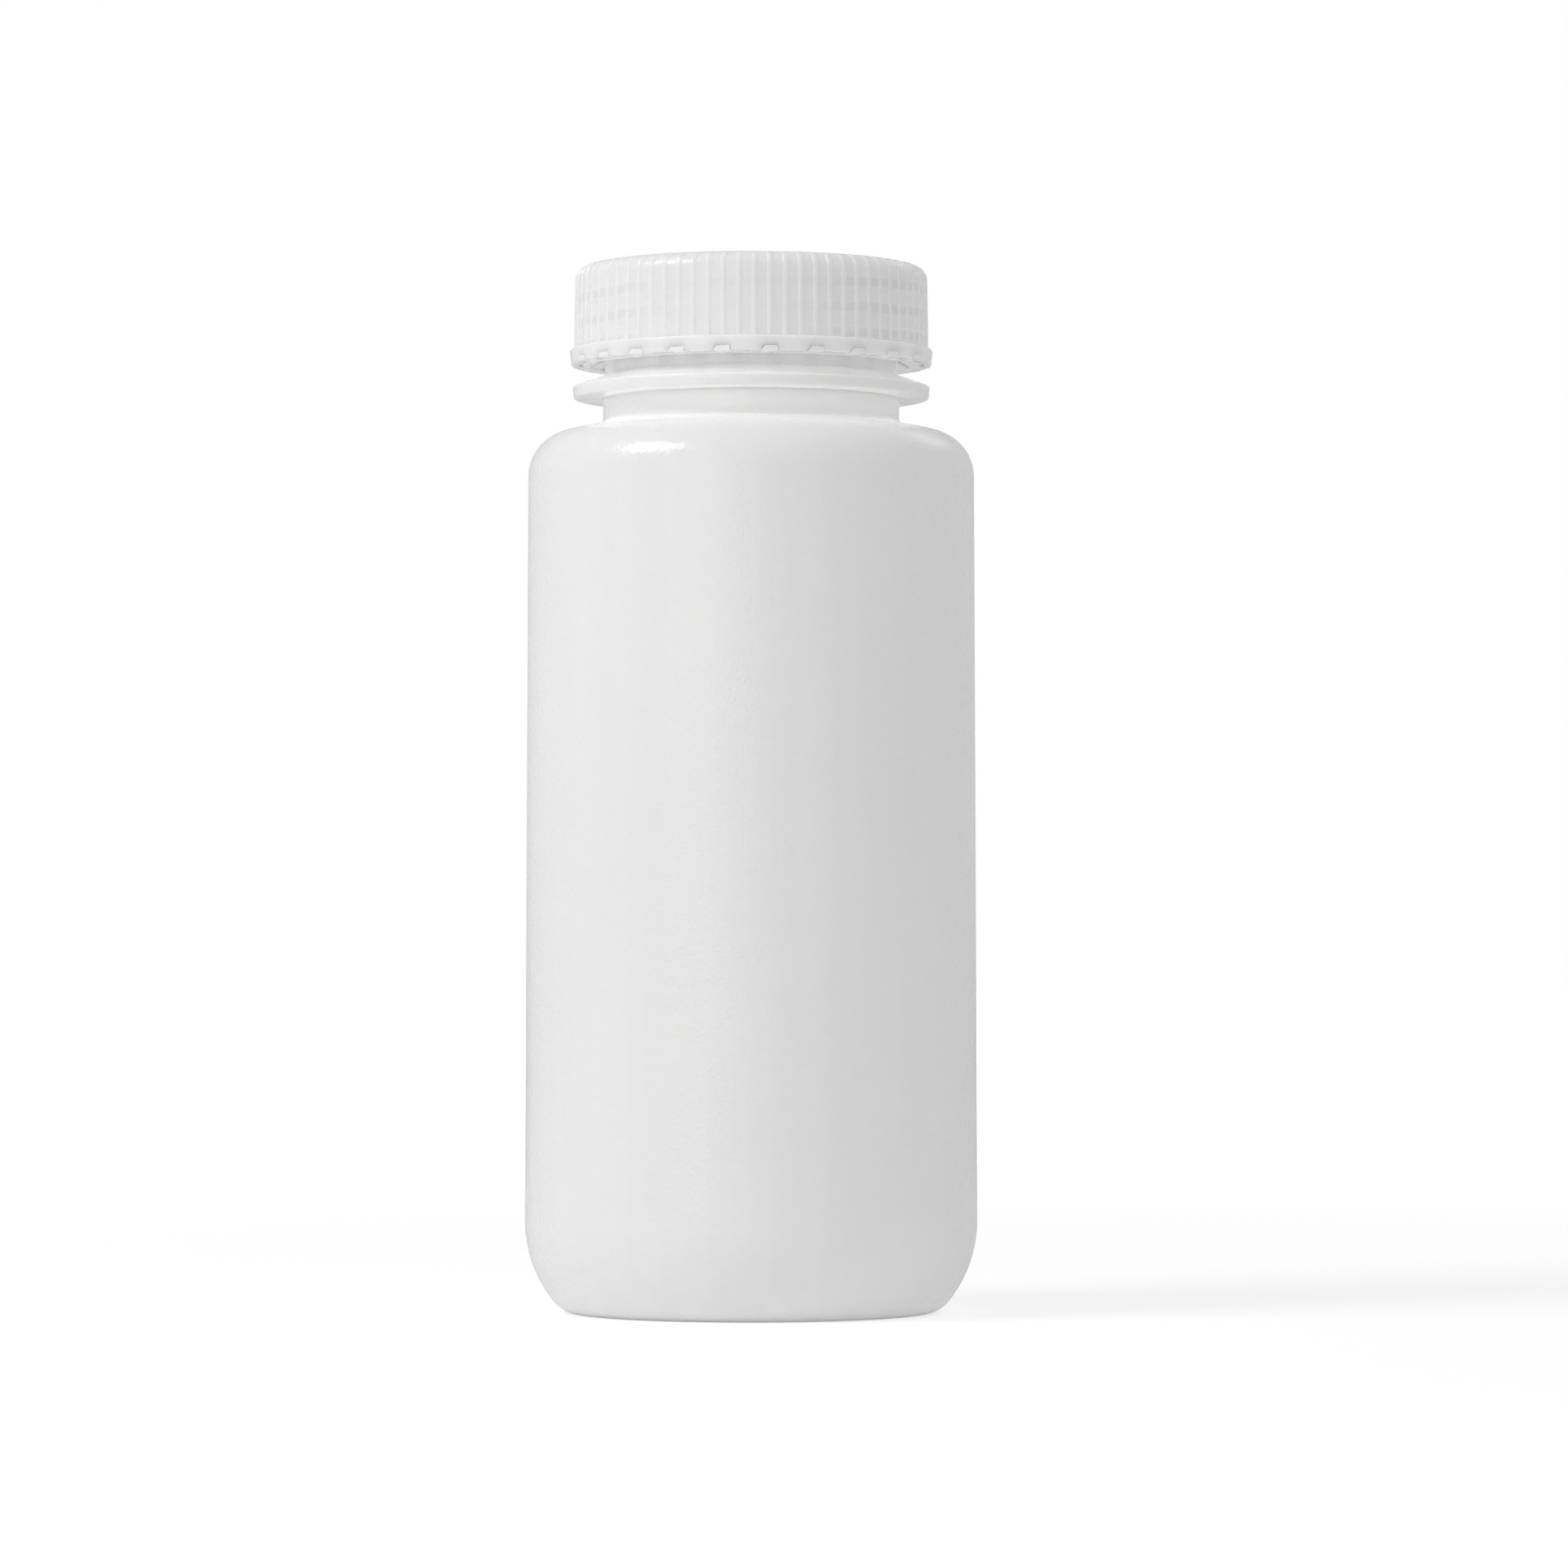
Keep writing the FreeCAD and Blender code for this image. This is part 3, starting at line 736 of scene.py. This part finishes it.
def milky_plastic(name, light, dark, roughness, depth, ripple, bump_height, streak_height=0.0, **sockets):
    """Principled plastic. ripple is (fine scale, broad scale, broad share); heights are in metres."""
    material = bpy.data.materials.new(name)
    material.use_nodes = True
    tree = material.node_tree
    shader = tree.nodes["Principled BSDF"]
    place = tree.nodes.new("ShaderNodeTexCoord").outputs["Object"]

    streaks = place_group(tree, upright_streaks, Vector=place, Scale=STREAK_SCALE).outputs["Streak"]
    tone = place_group(
        tree, milky_drift, Vector=place, Light=(*light, 1.0), Dark=(*dark, 1.0), Scale=DRIFT_SCALE,
        Streak=streaks,
    )
    tree.links.new(tone.outputs["Color"], shader.inputs["Base Color"])

    fine, broad, share = ripple
    waves = place_group(
        tree, mould_ripple, Vector=place, Fine_Scale=fine, Broad_Scale=broad, Broad_Share=share,
    ).outputs["Height"]
    wave_height = maths(tree, "MULTIPLY", waves, bump_height)
    height = maths(tree, "ADD", wave_height, maths(tree, "MULTIPLY", streaks, streak_height))
    bump = tree.nodes.new("ShaderNodeBump")
    bump.inputs["Distance"].default_value = 1.0
    tree.links.new(height, bump.inputs["Height"])
    tree.links.new(bump.outputs["Normal"], shader.inputs["Normal"])

    patches = noise(tree, place, GLOSS_SCALE)
    gloss = ramp(tree, patches, 0.3, 0.7, roughness - GLOSS_SPREAD, roughness + GLOSS_SPREAD)
    tree.links.new(gloss, shader.inputs["Roughness"])
    shader.inputs["Subsurface Weight"].default_value = 1.0
    shader.inputs["Subsurface Radius"].default_value = (1.0, 1.0, 0.95)
    shader.inputs["Subsurface Scale"].default_value = depth
    for label, value in sockets.items():
        shader.inputs[label.replace("_", " ")].default_value = value
    return material


# %% [markdown]
# The bottle's wall is thin and lets some light out again, which greys it a little. The neck above the flange is
# the thickest part, and it sits in the gaps under the cap and over the flange, where the renderer lets in too
# little light. So it is painted whiter there, as painted light that fills that shade: the colour changes with the
# height on the piece itself, over the cone of the flange.

# %% The bottle's polyethylene
bottle_plastic = milky_plastic(
    "natural_polyethylene", light=(0.922, 0.922, 0.917), dark=(0.902, 0.904, 0.9), roughness=0.15,
    depth=0.6 * MM, ripple=(1500.0, 60.0, 0.25), bump_height=0.00013, streak_height=0.000005, IOR=1.51,
)


# %% Colour by place
def place_parts(tree):
    """The three coordinates of a point of the piece."""
    parts = tree.nodes.new("ShaderNodeSeparateXYZ")
    tree.links.new(tree.nodes.new("ShaderNodeTexCoord").outputs["Object"], parts.inputs[0])
    return parts.outputs


def blend_colour(tree, factor, a, b):
    """Colour a where the factor is 0, and colour b where it is 1."""
    node = tree.nodes.new("ShaderNodeMix")
    node.data_type = "RGBA"
    join(tree, factor, node.inputs["Factor"])
    join(tree, a, node.inputs["A"])
    join(tree, b, node.inputs["B"])
    return node.outputs["Result"]


def recolour(material, factor, colour):
    """Blends a colour into the material's base colour where the factor is 1."""
    tree = material.node_tree
    base = tree.nodes["Principled BSDF"].inputs["Base Color"]
    tree.links.new(blend_colour(tree, factor, base.links[0].from_socket, colour), base)


# %% The neck painted whiter, as painted light
# Painted light: the neck above the flange cone is painted whiter to fill the shade of the gaps round it.
PAINTED_LIGHT_FROM_Z = 148.6
PAINTED_LIGHT_TO_Z = 150.4
PAINTED_LIGHT_WHITE = (0.98, 0.98, 0.975, 1.0)

bottle_tree = bottle_plastic.node_tree
painted_light_share = ramp(bottle_tree, place_parts(bottle_tree)["Z"], PAINTED_LIGHT_FROM_Z * MM, PAINTED_LIGHT_TO_Z * MM)
recolour(bottle_plastic, painted_light_share, PAINTED_LIGHT_WHITE)
print("made", bottle_plastic.name, "with a whiter neck above", PAINTED_LIGHT_FROM_Z, "mm")

# %% [markdown]
# The cap's polypropylene is a little clearer, so the thread behind the skirt shows through as faint darker
# traces, the thread's shade seen through the wall. That shade is painted into the colour, which keeps it in place
# from every side and in an exported model. It follows the real helix, which rises by one pitch for each turn
# about the axis. The painted shade is strongest at the right side, weaker at the left and faint at the front and
# back, as it falls under the light from the left. The ribs scatter it away, so it shows mostly in the thin wall
# from rib to rib.

# %% The cap's polypropylene
cap_plastic = milky_plastic(
    "natural_polypropylene", light=(0.972, 0.973, 0.971), dark=(0.952, 0.954, 0.951), roughness=0.17,
    depth=2.0 * MM, ripple=(1500.0, 150.0, 0.3), bump_height=0.00012, IOR=1.49,
)

print("made", cap_plastic.name)

# %% Where the thread's painted shade goes
TRACE_Z = 160.85             # height of a trace's middle at azimuth 0
TRACE_CORE = 0.12            # the trace is full this far from its middle, in pitches
TRACE_EDGE = 0.24            # and gone this far from it
TRACE_TOP_Z = 165.3
TRACE_END_Z = 166.2


def painted_thread_shade(tree, x, y, z):
    """Mask of the painted shade of the helix behind the skirt, and the share of a turn that a point is at."""
    turn = maths(tree, "DIVIDE", maths(tree, "ARCTAN2", y, x), math.tau)
    climb = maths(tree, "DIVIDE", maths(tree, "SUBTRACT", z, TRACE_Z * MM), PITCH * MM)
    off_middle = maths(tree, "PINGPONG", maths(tree, "SUBTRACT", climb, turn), 0.5)
    shade_band = ramp(tree, off_middle, TRACE_CORE, TRACE_EDGE, 1.0, 0.0)
    foot = ramp(tree, z, BAND_TOP_Z * MM, (BAND_TOP_Z + 0.3) * MM)
    head = ramp(tree, z, TRACE_TOP_Z * MM, TRACE_END_Z * MM, 1.0, 0.0)
    return maths(tree, "MULTIPLY", maths(tree, "MULTIPLY", shade_band, foot), head), turn


# %% How strongly the painted shade shows at each side
# Painted shade of the thread: how much it darkens the cap at the left side, the right side and the front.
PAINTED_SHADE_LEFT = 0.09            # how much a trace takes off the cap's brightness at the left side
PAINTED_SHADE_RIGHT = 0.12
PAINTED_SHADE_FRONT = 0.02
ON_A_RIB = 0.35              # share of it that is left on a rib
SKIN = 0.4                   # only the outside shows it, this far out from the bore


def paint_thread_shade(material):
    """Paints the shade of the thread behind the skirt into the cap's colour, strongest at the sides."""
    tree = material.node_tree
    x, y, z = place_parts(tree)
    shade_band, turn = painted_thread_shade(tree, x, y, z)

    squares = maths(tree, "ADD", maths(tree, "MULTIPLY", x, x), maths(tree, "MULTIPLY", y, y))
    radius = maths(tree, "SQRT", squares)
    aside = maths(tree, "DIVIDE", x, radius)
    right = ramp(tree, aside, 0.2, 0.7, 0.0, PAINTED_SHADE_RIGHT)
    left = ramp(tree, maths(tree, "MULTIPLY", aside, -1.0), 0.4, 0.8, 0.0, PAINTED_SHADE_LEFT)
    strength = maths(tree, "ADD", maths(tree, "ADD", left, right), PAINTED_SHADE_FRONT)
    outer = ramp(tree, radius, (CAP_BORE_R + SKIN) * MM, (CAP_BORE_R + SKIN + 0.3) * MM)

    rib_turn = maths(tree, "SUBTRACT", turn, (FRONT + RIB_PHASE) / 360.0)
    off_rib = maths(tree, "PINGPONG", maths(tree, "MULTIPLY", rib_turn, 360.0 / RIB_STEP), 0.5)
    between_ribs = ramp(tree, off_rib, 0.14, 0.22, ON_A_RIB, 1.0)
    for share in (shade_band, outer, between_ribs):
        strength = maths(tree, "MULTIPLY", strength, share)
    recolour(material, strength, (0.0, 0.0, 0.0, 1.0))


paint_thread_shade(cap_plastic)
print(cap_plastic.name, "has", len(cap_plastic.node_tree.nodes), "nodes")

# %% [markdown]
# The tamper ring is moulded with the cap from the same plastic, but no thread lies behind it, so it gets the
# plain version. The seal is a closed-cell foam: matt, white and finely pitted.

# %% The ring's polypropylene and the seal's foam
ring_plastic = milky_plastic(
    "ring_polypropylene", light=(0.972, 0.973, 0.971), dark=(0.952, 0.954, 0.951), roughness=0.17,
    depth=0.4 * MM, ripple=(1500.0, 150.0, 0.3), bump_height=0.00012, IOR=1.49,
)
seal_foam = milky_plastic(
    "white_foam", light=(0.9, 0.9, 0.89), dark=(0.84, 0.84, 0.83), roughness=0.8,
    depth=0.5 * MM, ripple=(3500.0, 500.0, 0.3), bump_height=0.00006, IOR=1.45,
)
print("made", ring_plastic.name, "and", seal_foam.name)

# %% [markdown]
# ## On to the frame
# Each piece rides on the body it belongs to, and stands in the place of its plain solid. The cap and its seal
# lift off together, and the ring only turns.

# %% Pieces on their bodies
def dressed(piece, finish, body, node):
    """Gives a piece its plastic, lets it ride on its body, and puts it in the place of its plain solid."""
    piece.data.materials.clear()
    piece.data.materials.append(finish)
    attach(piece, body)
    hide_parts(node)
    print(piece.name, "rides on", body, "in", finish.name)


dressed(bottle, bottle_plastic, "bottle", "bottle")
dressed(cap, cap_plastic, "cap", "screw_cap")
dressed(ring, ring_plastic, "tamper_ring", "tamper_ring")
dressed(seal, seal_foam, "cap", "sealing_disc")

# %% [markdown]
# ## Studio
# The photograph has almost no shadows: white walls all round give light from the side, a wide soft light stands
# low on the left, a smaller one high on the left makes the bright patch on the shoulder, and a faint one behind
# the bottle on the right draws its edge there. The floor and the walls show white to the camera through Light
# Path, so the lamps can stay at a plain level and the floor keeps the bottle's soft shadow.

# %% White for the camera
def shown_white(tree):
    """1 for camera and transmission rays, and 0 for the rest."""
    path = tree.nodes.new("ShaderNodeLightPath")
    return maths(tree, "MAXIMUM", path.outputs["Is Camera Ray"], path.outputs["Is Transmission Ray"])


def blend(tree, factor, a, b):
    """Value a where the factor is 0, and b where it is 1."""
    node = tree.nodes.new("ShaderNodeMix")
    for source, label in ((factor, "Factor"), (a, "A"), (b, "B")):
        join(tree, source, node.inputs[label])
    return node.outputs["Result"]


# %% Floor
FLOOR_SIZE = 12.0
FLOOR_LIFT = 0.52            # what the floor adds to its own shade where it is seen, beside the bottle
FAR_LIFT = 0.85              # and far away, where the lamps hardly reach it
NEAR, FAR = 0.15, 1.5        # metres from the bottle
FLOOR_GLOW = 0.16            # what it adds for the rays that light the bottle from below

bpy.ops.object.select_all(action="DESELECT")
bpy.ops.mesh.primitive_grid_add(x_subdivisions=8, y_subdivisions=8, size=FLOOR_SIZE, location=CENTRE)
floor = bpy.context.object
floor.name = "floor"
floor_finish = bpy.data.materials.new("pale_floor")
floor_finish.use_nodes = True
floor_tree = floor_finish.node_tree
floor_shader = floor_tree.nodes["Principled BSDF"]
floor_shader.inputs["Base Color"].default_value = (0.6, 0.6, 0.6, 1.0)
floor_shader.inputs["Roughness"].default_value = 0.9
floor_shader.inputs["Specular IOR Level"].default_value = 0.1
floor_shader.inputs["Emission Color"].default_value = (1.0, 1.0, 1.0, 1.0)
from_bottle = floor_tree.nodes.new("ShaderNodeVectorMath")
from_bottle.operation = "LENGTH"
floor_tree.links.new(floor_tree.nodes.new("ShaderNodeTexCoord").outputs["Object"], from_bottle.inputs[0])
lift = ramp(floor_tree, from_bottle.outputs["Value"], NEAR, FAR, FLOOR_LIFT, FAR_LIFT)
floor_tree.links.new(
    blend(floor_tree, shown_white(floor_tree), FLOOR_GLOW, lift), floor_shader.inputs["Emission Strength"],
)
floor.data.materials.append(floor_finish)
print("floor", FLOOR_SIZE, "m wide")

# %% [markdown]
# Milky walls also let light through into the gaps under the cap and the flange. The renderer follows that only
# up to a ray's first few bounces, and the gaps come out far too dark. So the white walls of the studio count for
# more with each further bounce. That makes up for part of the light that is lost in the gaps. It also brightens
# the tight hollow at the foot of the neck, which is why the gain stays small.

# %% White walls all round
WALL_LIGHT = 0.77            # near the horizon
CEILING_LIGHT = 0.54
GLOSS_LIGHT = 0.62           # in reflections
PLAIN_BOUNCES = 3.0          # up to here the walls give their plain light
BOUNCE_GAIN = 1.0            # and this much more for each bounce after it
MOST_BOUNCES = 4.0           # but for no more bounces than this

world = bpy.data.worlds.new("surround")
bpy.context.scene.world = world
world.use_nodes = True
world_tree = world.node_tree
backdrop = world_tree.nodes["Background"]
backdrop.inputs["Color"].default_value = (1.0, 1.0, 1.0, 1.0)
direction_parts = world_tree.nodes.new("ShaderNodeSeparateXYZ")
world_tree.links.new(world_tree.nodes.new("ShaderNodeTexCoord").outputs["Generated"], direction_parts.inputs[0])
lighting = ramp(world_tree, direction_parts.outputs["Z"], 0.1, 0.7, WALL_LIGHT, CEILING_LIGHT)
world_path = world_tree.nodes.new("ShaderNodeLightPath")
bounces = maths(world_tree, "SUBTRACT", world_path.outputs["Ray Depth"], PLAIN_BOUNCES)
bounces = maths(world_tree, "MINIMUM", maths(world_tree, "MAXIMUM", bounces, 0.0), MOST_BOUNCES)
gain = maths(world_tree, "ADD", maths(world_tree, "MULTIPLY", bounces, BOUNCE_GAIN), 1.0)
strength = maths(world_tree, "MULTIPLY", lighting, gain)
strength = blend(world_tree, world_path.outputs["Is Glossy Ray"], strength, GLOSS_LIGHT)
strength = blend(world_tree, shown_white(world_tree), strength, 1.0)
world_tree.links.new(strength, backdrop.inputs["Strength"])
print("walls light at", WALL_LIGHT, "and the ceiling at", CEILING_LIGHT)


# %% Soft lights
def soft_light(name, azimuth, elevation, distance, width, height, power):
    """Area light aimed at the bottle. Azimuth is counted from the front, positive to the right."""
    data = bpy.data.lights.new(name, "AREA")
    data.shape = "RECTANGLE"
    data.size = width
    data.size_y = height
    data.energy = power
    lamp = bpy.data.objects.new(name, data)
    bpy.context.scene.collection.objects.link(lamp)
    a, e = math.radians(azimuth), math.radians(elevation)
    middle = Vector((0.0, 0.0, 90.0 * MM))
    towards = Vector((math.sin(a) * math.cos(e), -math.cos(a) * math.cos(e), math.sin(e)))
    lamp.location = middle + distance * towards
    lamp.rotation_euler = (middle - lamp.location).to_track_quat("-Z", "Y").to_euler()


soft_light("low_softbox", azimuth=-25.0, elevation=6.0, distance=2.0, width=1.4, height=0.5, power=2.3)
soft_light("high_softbox", azimuth=-61.0, elevation=40.0, distance=1.3, width=0.6, height=0.32, power=5.0)
soft_light("rim_softbox", azimuth=138.0, elevation=35.0, distance=1.3, width=0.5, height=0.4, power=0.5)

# %% [markdown]
# ## Colours
# The Standard view shows every colour as it is written, where Blender's usual view would grey a white bottle.

# %% Colours as written
bpy.context.scene.view_settings.view_transform = "Standard"
print("view:", bpy.context.scene.view_settings.view_transform)
